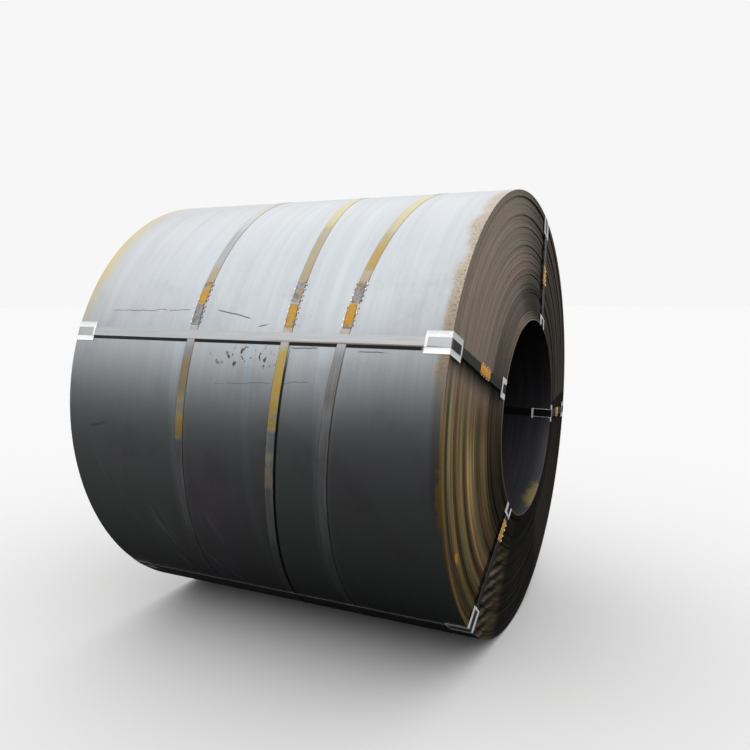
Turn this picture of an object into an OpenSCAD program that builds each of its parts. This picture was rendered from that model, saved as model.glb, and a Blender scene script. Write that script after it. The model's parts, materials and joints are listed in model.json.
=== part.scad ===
// Coil of hot-rolled steel strip, lying on its round side. Three bands go round it and four
// straps go through its bore, each strap over bent sheet guards at the coil's edges.
// The coil's axis is X, its front end faces +X, and it rests on z = 0.
// Angles are measured about the axis, from +Y towards +Z.

/* [Coil] */
// Width of the strip, which is the length of the coil
strip_w = 1500; // [1200:10:2000]
// Diameter over the last turn
outer_d = 1726; // [1200:2:2200]
// Diameter of the bore, which the coiler's mandrel leaves
bore_d = 762; // [508:2:840]
// How far the first turns stand out past the last turns at the front end
telescope = 43; // [5:1:80]
// Bundles of turns that show as steps on each end
turn_bundles = 22; // [10:1:30]
// Deepest dip of a bundle of turns behind its neighbours
turn_dip = 4; // [1:0.5:6]
// Extra dip half way across the front end, which the straps bridge
front_hollow = 6; // [0:0.5:10]

/* [Steel strapping] */
// Width of every band and strap
strap_w = 32; // [19:1:40]
// Thickness of every band and strap
strap_t = 0.8; // [0.6:0.1:1.2]
// Length of each folded seal
seal_len = 84; // [50:1:100]
// Thickness of a seal's sheet
seal_t = 1; // [0.6:0.1:1.5]
// How far a strap's overlapped end runs on past its seal
lap_tail = 12; // [5:1:40]

/* [Bands round the coil] */
// Middle of each band along the axis
band_x = [-317, 14, 372]; // [-480:1:480]
// How far each band strays from its middle, because it is wound askew
band_stray = [114, 167, 89]; // [0:1:200]
// Angle at which each band strays most towards the front end
band_stray_at = [141, 146, 77]; // [0:1:359]
// Gap between the two seals on each band's lap
band_seal_gap = 4; // [2:1:20]
// Clear way between the bands' laps and the strap below them
band_lap_clear = 7; // [2:1:60]

/* [Straps through the bore] */
// Angle of each strap
eye_at = [66, 156.5, 230, 354]; // [0:0.5:359.5]
// Where each strap's seal sits on the front end: 0 is by the bore guard, 1 by the outer guard
eye_seal_share = [0.5, 0.43, 0.03, 0.45]; // [0:0.01:1]

/* [Edge guards] */
// Width of a guard, across its strap
guard_w = 73; // [50:1:90]
// Thickness of the guard's sheet
guard_t = 0.45; // [0.4:0.05:0.7]
// Length of a guard's leg along the coil
guard_leg = 84; // [50:1:110]
// Length of an outer guard's leg on the coil's end
guard_end_leg = 80; // [40:1:100]
// Length of a bore guard's leg on the coil's end
guard_bore_leg = 42; // [25:1:70]
// Width of the finger that crosses the strap at each end of a guard
finger_w = 9; // [5:1:14]

/* [Hidden] */
$fn = 200;

outer_r = outer_d / 2;
bore_r = bore_d / 2;
build_up = outer_r - bore_r;
lean = telescope / build_up;
bundle_t = build_up / turn_bundles;
strap_side_gap = 0.05;
guard_gap = 0.3;
finger_root = 2;
finger_lap = 3;
far = 2 * outer_r;

// The stretch of the front end that the guards leave free for the straps' laps
half_lap = seal_len / 2 + lap_tail;
lap_from = bore_r + guard_bore_leg + half_lap;
lap_to = outer_r - guard_end_leg - half_lap;

// Half the length of a band's lap, and the angle of its middle, just above the second strap
band_half_lap = seal_len + band_seal_gap / 2 + lap_tail;
band_lap_at = eye_at[1] - asin((strap_w / 2 + band_lap_clear + band_half_lap) / outer_r);
band_seal_turn = asin((seal_len + band_seal_gap) / 2 / outer_r);

// Heights of the layers above the coil's outside, and on its ends and in its bore
outer_strap_at = max(strap_t, guard_t + guard_gap);
inner_strap_at = guard_t;
front_tip = front_line(bore_r - inner_strap_at - strap_t - guard_t) + inner_strap_at + strap_t + guard_t;
back_tip = back_line(outer_r + outer_strap_at + strap_t + guard_t)
    - inner_strap_at - strap_t - guard_t;
mid_x = (front_tip + back_tip) / 2;
axis_z = outer_r + strap_t;

steel = [0.36, 0.37, 0.39];
strapping = [0.55, 0.56, 0.57];
rusty = [0.72, 0.42, 0.14];
zinc = [0.86, 0.87, 0.88];

// Place along the axis of the straight line between an end's outer edge and its bore edge
function front_line(r) = strip_w / 2 + lean * (outer_r - r);
function back_line(r) = lean * (outer_r - r) - strip_w / 2;

// Dip of one bundle of turns: none at the two edges, and uneven in between
function dip(i, turn) = (i == 0 || i == turn_bundles - 1) ? 0
    : turn_dip * (0.5 - 0.5 * cos(turn * i));
function hollow(i) = front_hollow * sin(180 * i / (turn_bundles - 1));
function bundle_top(i) = outer_r - bundle_t * i;
function front_face(i) = front_line(bundle_top(i)) - dip(i, 137) - hollow(i);
function back_face(i) = back_line(bundle_top(i + 1)) + dip(i, 101);

function eye_seal_r(i) = lap_from + (lap_to - lap_from) * eye_seal_share[i];

// Lays what is drawn about Z down along X, on the floor
module lay_down() {
    translate([-mid_x, 0, axis_z]) rotate([0, 90, 0]) children();
}

// Turns a piece drawn at the +X side to an angle about the axis
module at_angle(angle) {
    rotate(angle + 90) children();
}

// Half profile of the coil between its bore, outside and end lines, grown on each of them
module grown_profile(outside, inside) {
    outer = outer_r + outside;
    bore = bore_r - inside;
    polygon([
        [bore, back_line(bore) - inside],
        [outer, back_line(outer) - inside],
        [outer, front_line(outer) + inside],
        [bore, front_line(bore) + inside]
    ]);
}

// Block of a given width along the turns, over everything at the +X side
module slice(width) {
    translate([0, -width / 2, -far]) cube([far, width, 2 * far]);
}

module coil_body() {
    front = [for (i = [0 : turn_bundles - 1]) each
        [[bundle_top(i), front_face(i)], [bundle_top(i + 1), front_face(i)]]];
    back = [for (i = [turn_bundles - 1 : -1 : 0]) each
        [[bundle_top(i + 1), back_face(i)], [bundle_top(i), back_face(i)]]];
    color(steel) lay_down() rotate_extrude() polygon(concat(front, back));
}

// Thin hoop round the coil, askew as one of the bands is
module hoop(i, width, inner, outer) {
    tilt = atan(band_stray[i] / outer_r);
    intersection() {
        difference() {
            cylinder(r = outer, h = 2 * far, center = true);
            cylinder(r = inner, h = 2 * far + 2, center = true);
        }
        translate([0, 0, band_x[i]]) rotate([0, 0, band_stray_at[i] + 90]) rotate([0, -tilt, 0])
            cylinder(r = far, h = width, center = true);
    }
}

// A given length of a hoop, with its middle at an angle
module hoop_stretch(i, width, inner, outer, angle, length) {
    intersection() {
        hoop(i, width, inner, outer);
        at_angle(angle) slice(length);
    }
}

module band(i) {
    color(strapping) lay_down() union() {
        hoop(i, strap_w, outer_r, outer_r + strap_t);
        hoop_stretch(i, strap_w, outer_r + strap_t / 2, outer_r + 2 * strap_t, band_lap_at,
            2 * band_half_lap);
    }
}

module band_seal(i, angle) {
    color(rusty) lay_down() difference() {
        hoop_stretch(i, strap_w + 2 * (seal_t + strap_side_gap), outer_r, outer_r + 2 * strap_t + seal_t,
            angle, seal_len);
        hoop_stretch(i, strap_w + 2 * strap_side_gap, outer_r - 1, outer_r + 2 * strap_t,
            angle, seal_len + 2);
    }
}

module upper_band_seal(i) {
    band_seal(i, band_lap_at - band_seal_turn);
}

module lower_band_seal(i) {
    band_seal(i, band_lap_at + band_seal_turn);
}

// Sheet of a strap's thickness that follows the coil's outline, starting at the given heights
module outline_sheet(outside, inside, thickness) {
    difference() {
        grown_profile(outside + thickness, inside + thickness);
        grown_profile(outside, inside);
    }
}

// The stretch of the front end between two radii
module front_stretch(r_in, r_out) {
    translate([r_in, 0]) square([r_out - r_in, far]);
}

module eye_strap(i) {
    color(strapping) lay_down() at_angle(eye_at[i]) intersection() {
        slice(strap_w);
        rotate_extrude() union() {
            outline_sheet(outer_strap_at, inner_strap_at, strap_t);
            intersection() {
                outline_sheet(outer_strap_at + strap_t / 2, inner_strap_at + strap_t / 2, 1.5 * strap_t);
                front_stretch(eye_seal_r(i) - half_lap, eye_seal_r(i) + half_lap);
            }
        }
    }
}

module eye_seal(i) {
    color(rusty) lay_down() at_angle(eye_at[i]) difference() {
        intersection() {
            slice(strap_w + 2 * (seal_t + strap_side_gap));
            rotate_extrude() intersection() {
                outline_sheet(outer_strap_at, inner_strap_at, 2 * strap_t + seal_t);
                front_stretch(eye_seal_r(i) - seal_len / 2, eye_seal_r(i) + seal_len / 2);
            }
        }
        intersection() {
            slice(strap_w + 2 * strap_side_gap);
            rotate_extrude() intersection() {
                outline_sheet(outer_strap_at - 1, inner_strap_at - 1, 2 * strap_t + 1);
                front_stretch(eye_seal_r(i) - seal_len, eye_seal_r(i) + seal_len);
            }
        }
    }
}

// Box in the half profile, from r_in to r_out and from x_low to x_high
module profile_box(r_in, r_out, x_low, x_high) {
    translate([r_in, x_low]) square([r_out - r_in, x_high - x_low]);
}

// Bar across the strap at one end of a guard, held at one side of it
module finger(side) {
    reach = strap_w / 2 + finger_lap;
    root = strap_w / 2 + 1;
    intersection() {
        rotate_extrude() intersection() {
            outline_sheet(outer_strap_at + strap_t, inner_strap_at + strap_t, guard_t);
            children();
        }
        translate([0, side > 0 ? -reach : -root - finger_root, -far])
            cube([far, reach + root + finger_root, 2 * far]);
    }
    intersection() {
        rotate_extrude() intersection() {
            outline_sheet(0, 0, outer_strap_at + strap_t + guard_t);
            grown_profile(outer_strap_at + strap_t + guard_t, inner_strap_at + strap_t + guard_t);
            children();
        }
        translate([0, side > 0 ? root : -root - finger_root, -far]) cube([far, finger_root, 2 * far]);
    }
}

// Guard bent over one edge. Its legs fill the profile box from r_in to r_out and x_low to x_high,
// and its fingers cross the strap at the far end of each leg.
module guard(i, r_in, r_out, x_low, x_high, leg_end, end_end, side) {
    color(zinc) lay_down() at_angle(eye_at[i]) union() {
        intersection() {
            slice(guard_w);
            rotate_extrude() intersection() {
                outline_sheet(0, 0, guard_t);
                profile_box(r_in, r_out, x_low, x_high);
            }
        }
        finger(side) profile_box(r_in, r_out, leg_end, leg_end + finger_w);
        finger(-side) profile_box(end_end, end_end + finger_w, x_low, x_high);
    }
}

module front_guard(i) {
    guard(i, outer_r - guard_end_leg, far, strip_w / 2 - guard_leg, far,
        strip_w / 2 - guard_leg, outer_r - guard_end_leg, -1);
}

module back_guard(i) {
    guard(i, outer_r - guard_end_leg, far, -far, guard_leg - strip_w / 2,
        guard_leg - strip_w / 2 - finger_w, outer_r - guard_end_leg, 1);
}

module front_bore_guard(i) {
    edge = front_line(bore_r);
    guard(i, 1, bore_r + guard_bore_leg, edge - guard_leg, far,
        edge - guard_leg, bore_r + guard_bore_leg - finger_w, -1);
}

module back_bore_guard(i) {
    edge = back_line(bore_r);
    guard(i, 1, bore_r + guard_bore_leg, -far, edge + guard_leg,
        edge + guard_leg - finger_w, bore_r + guard_bore_leg - finger_w, 1);
}

coil_body();
for (i = [0 : len(band_x) - 1]) {
    band(i);
    upper_band_seal(i);
    lower_band_seal(i);
}
for (i = [0 : len(eye_at) - 1]) {
    eye_strap(i);
    eye_seal(i);
    front_guard(i);
    back_guard(i);
    front_bore_guard(i);
    back_bore_guard(i);
}
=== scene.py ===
"""Finish of a strapped coil of hot-rolled strip: its turns, bands, straps, seals and edge guards.

The coil's axis is X and its front end faces +X. An angle is measured about the axis, from +Y
towards +Z. Lengths are in metres unless a name says otherwise.
"""
import json
import math
import random

import bpy
from bpy.props import FloatProperty, FloatVectorProperty, IntProperty, PointerProperty
from mathutils import Matrix, Vector


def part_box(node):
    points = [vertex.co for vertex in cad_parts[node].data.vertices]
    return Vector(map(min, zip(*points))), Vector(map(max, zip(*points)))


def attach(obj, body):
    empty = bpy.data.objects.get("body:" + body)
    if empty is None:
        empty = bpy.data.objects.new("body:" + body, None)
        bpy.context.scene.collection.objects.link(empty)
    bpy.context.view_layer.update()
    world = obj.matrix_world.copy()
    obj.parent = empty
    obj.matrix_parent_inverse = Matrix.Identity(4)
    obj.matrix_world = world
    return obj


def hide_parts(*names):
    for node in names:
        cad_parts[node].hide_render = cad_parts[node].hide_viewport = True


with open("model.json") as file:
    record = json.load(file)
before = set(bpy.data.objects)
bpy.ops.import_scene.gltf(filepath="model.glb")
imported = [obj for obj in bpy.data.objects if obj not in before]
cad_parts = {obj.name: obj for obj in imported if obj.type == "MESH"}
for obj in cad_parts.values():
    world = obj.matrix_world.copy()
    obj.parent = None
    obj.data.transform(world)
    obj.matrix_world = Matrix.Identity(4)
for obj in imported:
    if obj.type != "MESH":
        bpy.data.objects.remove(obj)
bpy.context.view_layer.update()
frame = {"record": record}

bl_info = {
    "name": "Steel Coil",
    "version": (1, 0, 0),
    "blender": (4, 5, 0),
    "location": "3D View > Sidebar > Steel Coil",
    "description": "Builds the turns, strapping and edge guards of a coil of hot-rolled strip",
    "category": "Object",
}

BORE_MOUNT = frame["record"]["mounts"][0]
AXIS = Vector((0, 0, BORE_MOUNT["pos_m"][2]))
ALONG = Vector((1, 0, 0))
COIL_LOW, COIL_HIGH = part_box("coil_body")
MM = 0.001

# Degrees about the axis: the straps through the bore, the free ends of the last turn and of the
# first turn, and how far round the coil the step at each free end runs out
EYE_ANGLES = (66, 156.5, 230, 354)
FAR_SIDE_TAIL = 300
FAR_SIDE_TAIL_RISE = 45
HEAD_STEP = 112
HEAD_STEP_RISE = 35

# Faces round the coil's ends and bore, and round its outer turn
ROUND_STEPS = 240
OUTER_STEPS = 288
# How deep the outer turn and the first turn are made, in turns
TURN_DEPTH = 1.02
# Depth of an end's piece, and the degrees of a cosine from one bundle's dip to the next, for each end
END_DEPTH = 60 * MM
DIP_STEPS = {1: 137, -1: 101}


# Sizes and finishes

def metres(name, description, default, low, high):
    """Length property between two limits."""
    return FloatProperty(
        name=name, description=description, default=default, min=low, max=high, unit="LENGTH")


class CoilSizes(bpy.types.PropertyGroup):
    """Sizes of the winding."""

    outer_radius: metres("Outer Radius", "Radius over the last turn", COIL_HIGH.z - AXIS.z, 0.6, 1.1)
    bore_radius: metres("Bore Radius", "Radius of the bore", BORE_MOUNT["dims"]["r_mm"] * MM, 0.254, 0.42)
    telescope: metres(
        "Telescope", "How far the first turns stand out past the last turns", 43 * MM, 0, 0.08)
    turns: IntProperty(
        name="Turns", description="Turns of strip in the coil", default=130, min=40, max=130)
    bundles: IntProperty(
        name="Bundles", description="Bundles of turns that show as steps on an end",
        default=22, min=10, max=30)
    dip: metres("Bundle Dip", "Deepest dip of a bundle behind its neighbours", 4 * MM, 0, 0.006)
    hollow: metres("Front Hollow", "Extra dip half way across the front end", 6 * MM, 0, 0.01)
    ripple: metres("Ripple", "Depth of the ripples beside the lower strap", 11 * MM, 0, 0.014)


class StrappingSizes(bpy.types.PropertyGroup):
    """Sizes of the bands, the straps and their seals."""

    width: metres("Width", "Width of the strapping", 32 * MM, 0.019, 0.04)
    thickness: metres("Thickness", "Thickness of the strapping", 0.8 * MM, 0.0005, 0.0012)
    seal_length: metres("Seal Length", "Length of a folded seal", 84 * MM, 0.05, 0.1)
    seal_sheet: metres("Seal Sheet", "Thickness of a seal's sheet", 1 * MM, 0.0006, 0.0015)
    lap_tail: metres("Lap Tail", "How far an overlapped end runs on past its seal", 12 * MM, 0.005, 0.04)
    seal_gap: metres("Seal Gap", "Gap between the two seals on a band's lap", 4 * MM, 0.002, 0.02)
    lap_clear: metres(
        "Lap Clearance", "Clear way between the bands' laps and the strap below them", 7 * MM, 0.002, 0.06)


class GuardSizes(bpy.types.PropertyGroup):
    """Sizes of the bent sheet guards."""

    width: metres("Width", "Width of a guard, across its strap", 73 * MM, 0.05, 0.09)
    sheet: metres("Sheet", "Thickness of a guard's sheet", 0.45 * MM, 0.0004, 0.0007)
    leg: metres("Leg", "Length of a guard's leg along the coil", 84 * MM, 0.05, 0.11)
    outer_end_leg: metres(
        "Outer End Leg", "Length of an outer guard's leg on the coil's end", 80 * MM, 0.04, 0.1)
    bore_end_leg: metres(
        "Bore End Leg", "Length of a bore guard's leg on the coil's end", 42 * MM, 0.025, 0.07)
    finger: metres("Finger", "Width of the finger that crosses the strap", 9 * MM, 0.005, 0.014)


def colour(name, description, default):
    """Colour property in linear red, green and blue."""
    return FloatVectorProperty(
        name=name, description=description, default=default, size=3, min=0, max=1, subtype="COLOR")


class FinishColours(bpy.types.PropertyGroup):
    """Colours of the steel, its rust and its zinc."""

    scale: colour("Mill Scale", "Blue-grey scale of the strip's face", (0.39, 0.41, 0.43))
    edge: colour("Strip Edge", "Sheared edges of the turns", (0.285, 0.232, 0.185))
    # Painted shade: the bore's colour is far darker than the outer turn's scale, for the shade inside the
    # bore.
    bore: colour("Bore", "First turn, inside the bore", (0.032, 0.032, 0.037))
    strapping: colour("Strapping", "Bare strapping steel", (0.36, 0.365, 0.375))
    zinc: colour("Zinc", "Galvanised sheet of the guards", (0.95, 0.955, 0.96))
    yellow_rust: colour("Yellow Rust", "Fresh rust on the bands", (0.50, 0.37, 0.10))
    pale_rust: colour("Pale Rust", "Dusty rust on the bands' tops", (0.54, 0.49, 0.26))
    orange_rust: colour("Orange Rust", "Rust on the bands' seals", (0.56, 0.29, 0.04))
    bright_rust: colour("Bright Rust", "Rust on the seals at the coil's end", (0.96, 0.43, 0.03))
    brown_rust: colour("Brown Rust", "Old rust and dirt", (0.12, 0.065, 0.035))


class StageSizes(bpy.types.PropertyGroup):
    """Camera and light of the stage."""

    camera_at: FloatVectorProperty(
        name="Camera Place", description="Where the camera stands",
        default=(1.4676, -2.8442, 1.3614), subtype="XYZ", unit="LENGTH")
    camera_pitch: FloatProperty(
        name="Camera Pitch", description="How far the camera looks down",
        default=math.radians(10.02), subtype="ANGLE")
    camera_turn: FloatProperty(
        name="Camera Turn", description="How far the camera is turned from looking along +Y",
        default=math.radians(25.75), subtype="ANGLE")
    lens_mm: FloatProperty(
        name="Lens", description="Focal length for a 36 mm sensor", default=35.47)
    shift_y: FloatProperty(
        name="Shift", description="Upward shift of the view, in sensor widths", default=0.06)
    sky: FloatProperty(
        name="Sky", description="Brightness of the soft light overhead", default=1.9, min=0)
    floor: FloatProperty(
        name="Floor", description="How pale the floor is", default=0.58, min=0, max=1)


# Modelling by hand

def only(piece):
    """Selects one piece and nothing else."""
    bpy.ops.object.select_all(action="DESELECT")
    piece.select_set(True)
    bpy.context.view_layer.objects.active = piece


def put_down(piece):
    """Leaves a piece's object at the origin, with its place in its mesh."""
    only(piece)
    bpy.ops.object.transform_apply(location=True, rotation=True, scale=True)


def first_point(name, place):
    """New piece of one point, left in edit mode with the point selected."""
    bpy.ops.object.select_all(action="DESELECT")
    bpy.ops.mesh.primitive_plane_add(size=0.01, location=place)
    piece = bpy.context.object
    piece.name = piece.data.name = name
    put_down(piece)
    bpy.ops.object.mode_set(mode="EDIT")
    bpy.ops.mesh.select_all(action="SELECT")
    bpy.ops.mesh.merge(type="CENTER")
    return piece


def draw_through(points):
    """Extrudes what is selected from the first point through the others."""
    for here, there in zip(points, points[1:]):
        bpy.ops.mesh.extrude_region_move(TRANSFORM_OT_translate={"value": there - here})


def sheet(name, section, path):
    """Sheet with a given section, extruded along a path. Returned in object mode."""
    piece = first_point(name, section[0])
    draw_through(section)
    bpy.ops.mesh.select_all(action="SELECT")
    draw_through(path)
    bpy.ops.object.mode_set(mode="OBJECT")
    return piece


def add_modifier(piece, kind, **settings):
    """Adds a modifier and applies it."""
    only(piece)
    modifier = piece.modifiers.new(kind.title(), kind)
    for key, value in settings.items():
        setattr(modifier, key, value)
    bpy.ops.object.modifier_apply(modifier=modifier.name)


def face_towards(piece, way):
    """Turns a sheet's faces over if its first face looks away from the given way."""
    if piece.data.polygons[0].normal.dot(way) > 0:
        return
    only(piece)
    bpy.ops.object.mode_set(mode="EDIT")
    bpy.ops.mesh.select_all(action="SELECT")
    bpy.ops.mesh.flip_normals()
    bpy.ops.object.mode_set(mode="OBJECT")


def thicken(piece, thickness, way, bevel=0.12 * MM):
    """Gives a sheet its thickness on the side of way, and breaks its edges."""
    face_towards(piece, way)
    add_modifier(piece, "SOLIDIFY", thickness=thickness, offset=1, use_even_offset=True)
    add_modifier(piece, "BEVEL", width=bevel, segments=1, limit_method="ANGLE",
                 angle_limit=math.radians(50))


def join(pieces):
    """Joins pieces into the first of them."""
    only(pieces[0])
    for piece in pieces[1:]:
        piece.select_set(True)
    bpy.ops.object.join()
    return pieces[0]


def spun(name, profile, steps):
    """Piece turned about the coil's axis from a closed profile."""
    piece = first_point(name, profile[0])
    draw_through(profile + profile[:1])
    bpy.ops.mesh.select_all(action="SELECT")
    bpy.ops.mesh.remove_doubles(threshold=1e-6)
    bpy.ops.mesh.select_all(action="SELECT")
    bpy.ops.mesh.spin(steps=steps, angle=math.tau, center=AXIS, axis=ALONG)
    bpy.ops.mesh.select_all(action="SELECT")
    bpy.ops.mesh.remove_doubles(threshold=1e-6)
    bpy.ops.mesh.normals_make_consistent(inside=False)
    bpy.ops.object.mode_set(mode="OBJECT")
    return piece


def turn_to(piece, angle):
    """Turns a piece from the bench to an angle about the coil's axis."""
    piece.matrix_world = (
        Matrix.Translation(AXIS) @ Matrix.Rotation(math.radians(angle), 4, "X") @ Matrix.Translation(-AXIS))
    put_down(piece)
    return piece


def copy_of(piece, name):
    """Copy of a piece with its own mesh."""
    only(piece)
    bpy.ops.object.duplicate(linked=False)
    twin = bpy.context.object
    twin.name = twin.data.name = name
    return twin


def finish(piece, material, slot, *nodes, smooth=40):
    """Smooths a piece, gives it its material, hangs it under the root body and hides its CAD nodes."""
    only(piece)
    bpy.ops.object.shade_smooth_by_angle(angle=math.radians(smooth))
    piece.data.materials.clear()
    piece.data.materials.append(material)
    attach(piece, "root")
    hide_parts(*nodes)


# Places on the coil

def bench(x, r, across=0.0):
    """Place on the bench: x along the coil, r out from its axis, and across a strap."""
    return Vector((x, r, AXIS.z + across))


def lean(coil):
    """How far an end moves along the axis for each metre inwards."""
    return coil.telescope / (coil.outer_radius - coil.bore_radius)


def front_line(coil, r):
    """Place along the axis of the front end's straight line."""
    return COIL_HIGH.x - lean(coil) * (r - coil.bore_radius)


def back_line(coil, r):
    """Place along the axis of the back end's straight line."""
    return COIL_LOW.x + lean(coil) * (coil.outer_radius - r)


def rounded(corners, radius, steps=5):
    """Path through corners (x, r) with round bends at all but its two ends."""
    path = [Vector(corners[0])]
    for before, corner, after in zip(corners, corners[1:], corners[2:]):
        corner = Vector(corner)
        start = corner + (Vector(before) - corner).normalized() * radius
        stop = corner + (Vector(after) - corner).normalized() * radius
        for step in range(steps + 1):
            share = step / steps
            path.append(start * (1 - share) ** 2 + corner * 2 * share * (1 - share) + stop * share ** 2)
    path.append(Vector(corners[-1]))
    return path


def filled(path, longest):
    """Path with points added so that no step is longer than the given length."""
    full = [path[0]]
    for here, there in zip(path, path[1:]):
        steps = max(1, math.ceil((there - here).length / longest))
        full += [here.lerp(there, step / steps) for step in range(1, steps + 1)]
    return full


# Turns of the coil

def turn_place(coil, line, sign, turn, whim):
    """Place along the axis of one turn's edge, behind the end's straight line."""
    pitch = (coil.outer_radius - coil.bore_radius) / coil.turns
    r = coil.outer_radius - pitch * (turn + 0.5)
    bundle = int(coil.bundles * turn / coil.turns)
    inner = 0 < bundle < coil.bundles - 1
    dip = coil.dip * (0.5 - 0.5 * math.cos(math.radians(DIP_STEPS[sign] * bundle))) if inner else 0
    hollow = coil.hollow * math.sin(math.pi * bundle / (coil.bundles - 1)) if sign > 0 else 0
    return line(coil, r) - sign * (dip + hollow + whim)


def end_profile(coil, sign, seed):
    """Closed profile of an end: the edge of each turn with a groove after it, and a plain back."""
    draw = random.Random(seed)
    line = front_line if sign > 0 else back_line
    pitch = (coil.outer_radius - coil.bore_radius) / coil.turns
    gap = 0.3 * MM
    places = []
    for turn in range(1, coil.turns - 1):
        stray = draw.uniform(0, 0.5) if draw.random() > 0.1 else draw.uniform(1, 2.4)
        places.append(turn_place(coil, line, sign, turn, stray * MM))
    profile = []
    for index, x in enumerate(places):
        r = coil.outer_radius - pitch * (index + 1)
        after = places[min(index + 1, len(places) - 1)]
        floor = min(x * sign, after * sign) * sign - sign * draw.uniform(0.3, 1.1) * MM
        profile += [bench(x, r - gap), bench(x, r - pitch + gap), bench(floor, r - pitch)]
    back = places[-1] - sign * END_DEPTH
    return profile + [bench(back, profile[-1].y), bench(back, coil.outer_radius - pitch)]


def tube_profile(coil, outer, inner, rows, rounding):
    """Closed profile of one turn's whole width, with its edges rounded."""
    front_out, front_in = front_line(coil, outer), front_line(coil, inner)
    back_out, back_in = back_line(coil, outer), back_line(coil, inner)
    corners = [
        ((front_out + back_out) / 2, outer), (front_out, outer), (front_in, inner),
        (back_in, inner), (back_out, outer), ((front_out + back_out) / 2, outer)]
    path = filled(rounded(corners, rounding, 2)[:-1], (front_out - back_out) / rows)
    return [bench(place.x, place.y) for place in path]


def step_turn(piece, coil, start, rise, outwards):
    """Brings a turn's free end to its edge: a step as deep as the strip, which runs out round the coil."""
    pitch = (coil.outer_radius - coil.bore_radius) / coil.turns
    edge_r = coil.outer_radius if outwards else coil.bore_radius
    for vertex in piece.data.vertices:
        arm = Vector((vertex.co.y, vertex.co.z - AXIS.z))
        past = (math.degrees(math.atan2(arm.y, arm.x)) - start) % 360
        if past < rise and abs(arm.length - edge_r) < pitch * 0.6:
            sunk = pitch * (1 - past / rise) * (-1 if outwards else 1)
            arm *= (arm.length + sunk) / arm.length
            vertex.co.y, vertex.co.z = arm.x, arm.y + AXIS.z


def dent(piece, name, depth, size, direction):
    """Lets a surface wander inwards by up to depth, in dents of about the given size."""
    texture = bpy.data.textures.new(name, "CLOUDS")
    texture.noise_scale = size
    texture.noise_depth = 1
    add_modifier(piece, "DISPLACE", texture=texture, texture_coords="LOCAL",
                 strength=-depth, mid_level=0, direction=direction)


# Ripples: length of a wave, reach beside the strap, bow of the crests, limits of angle in degrees, where
# they begin as a share of the reach and in radius, and the x past which the front end's turns lie
RIPPLE_WAVE = 38 * MM
RIPPLE_REACH = 0.24
RIPPLE_BOW = 0.5
RIPPLE_ANGLES = (232, 256)
RIPPLE_START = 0.08
RIPPLE_INNER_R = 0.5
FRONT_HALF_X = 0.6


def ripple_turns(piece, coil):
    """Ripples across the turns beside the lower strap, where the coil was set down hard."""
    low, high = RIPPLE_ANGLES
    for vertex in piece.data.vertices:
        arm = Vector((vertex.co.y, vertex.co.z - AXIS.z))
        angle = math.degrees(math.atan2(arm.y, arm.x)) % 360
        r = arm.length
        if not low < angle < high or r < RIPPLE_INNER_R or vertex.co.x < FRONT_HALF_X:
            continue
        beside = r * math.sin(math.radians(angle - EYE_ANGLES[2]))
        share = beside / RIPPLE_REACH
        if not RIPPLE_START < share < 1:
            continue
        fade = min(1, (share - RIPPLE_START) / 0.12) * (1 - share) ** 0.6
        fade *= min(1, (r - RIPPLE_INNER_R) / 0.06)
        wave_share = 0.5 - 0.5 * math.cos(math.tau * (arm.y + RIPPLE_BOW * beside ** 2) / RIPPLE_WAVE)
        vertex.co.x -= coil.ripple * fade * wave_share ** 0.7


class COIL_OT_turns(bpy.types.Operator):
    """Build the coil's ends, its outer turn and its first turn"""

    bl_idname = "coil.turns"
    bl_label = "Turns"

    def execute(self, context):
        coil = context.scene.coil_sizes
        pitch = (coil.outer_radius - coil.bore_radius) / coil.turns
        edges = turn_edges()
        front = spun("front_end_turns", end_profile(coil, 1, 11), ROUND_STEPS)
        ripple_turns(front, coil)
        dent(front, "front_wander", 1.6 * MM, 0.3, "X")
        back = spun("back_end_turns", end_profile(coil, -1, 23), ROUND_STEPS)
        dent(back, "back_wander", -1.6 * MM, 0.3, "X")
        outer = spun("outer_turn", tube_profile(
            coil, coil.outer_radius, coil.outer_radius - TURN_DEPTH * pitch, 90, 0.8 * MM), OUTER_STEPS)
        step_turn(outer, coil, FAR_SIDE_TAIL, FAR_SIDE_TAIL_RISE, True)
        first = spun("first_turn", tube_profile(
            coil, coil.bore_radius + TURN_DEPTH * pitch, coil.bore_radius, 30, 0.6 * MM), ROUND_STEPS)
        step_turn(first, coil, HEAD_STEP, HEAD_STEP_RISE, False)
        finish(front, edges, "hot_rolled_steel", "coil_body", smooth=50)
        finish(back, edges, "hot_rolled_steel", "coil_body", smooth=50)
        finish(outer, mill_scale(), "hot_rolled_steel", "coil_body")
        finish(first, bore_steel(), "hot_rolled_steel", "coil_body")
        return {"FINISHED"}


# Bands, straps and seals

# Bands: place along the coil, how far each strays along it, and the angle at which it strays most
BANDS = (
    {"x": -317 * MM, "stray": 114 * MM, "most_at": 141},
    {"x": 14 * MM, "stray": 167 * MM, "most_at": 146},
    {"x": 372 * MM, "stray": 89 * MM, "most_at": 77},
)
BAND_STEP = 1.5
# Degrees before a full turn at which a band climbs onto its own start, and in which it does so
CLIMB_BEFORE = 1.2
CLIMB_TURN = 0.8


def band_lap(coil, strapping):
    """Angle of the middle of a band's lap, half the lap's angle, and the turn from there to a seal."""
    half = strapping.seal_length + strapping.seal_gap / 2 + strapping.lap_tail
    seal_off = (strapping.seal_length + strapping.seal_gap) / 2
    above_strap = strapping.width / 2 + strapping.lap_clear + half
    turns = [math.degrees(math.asin(reach / coil.outer_radius)) for reach in (above_strap, half, seal_off)]
    return EYE_ANGLES[1] - turns[0], turns[1], turns[2]


def band_place(band, angle, r):
    """Middle of a band at an angle, at a distance from the axis."""
    turn = math.radians(angle)
    x = (COIL_LOW.x + COIL_HIGH.x) / 2 + band["x"] - strip_middle()
    x += band["stray"] * math.cos(math.radians(angle - band["most_at"]))
    return Vector((x, r * math.cos(turn), AXIS.z + r * math.sin(turn)))


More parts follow.
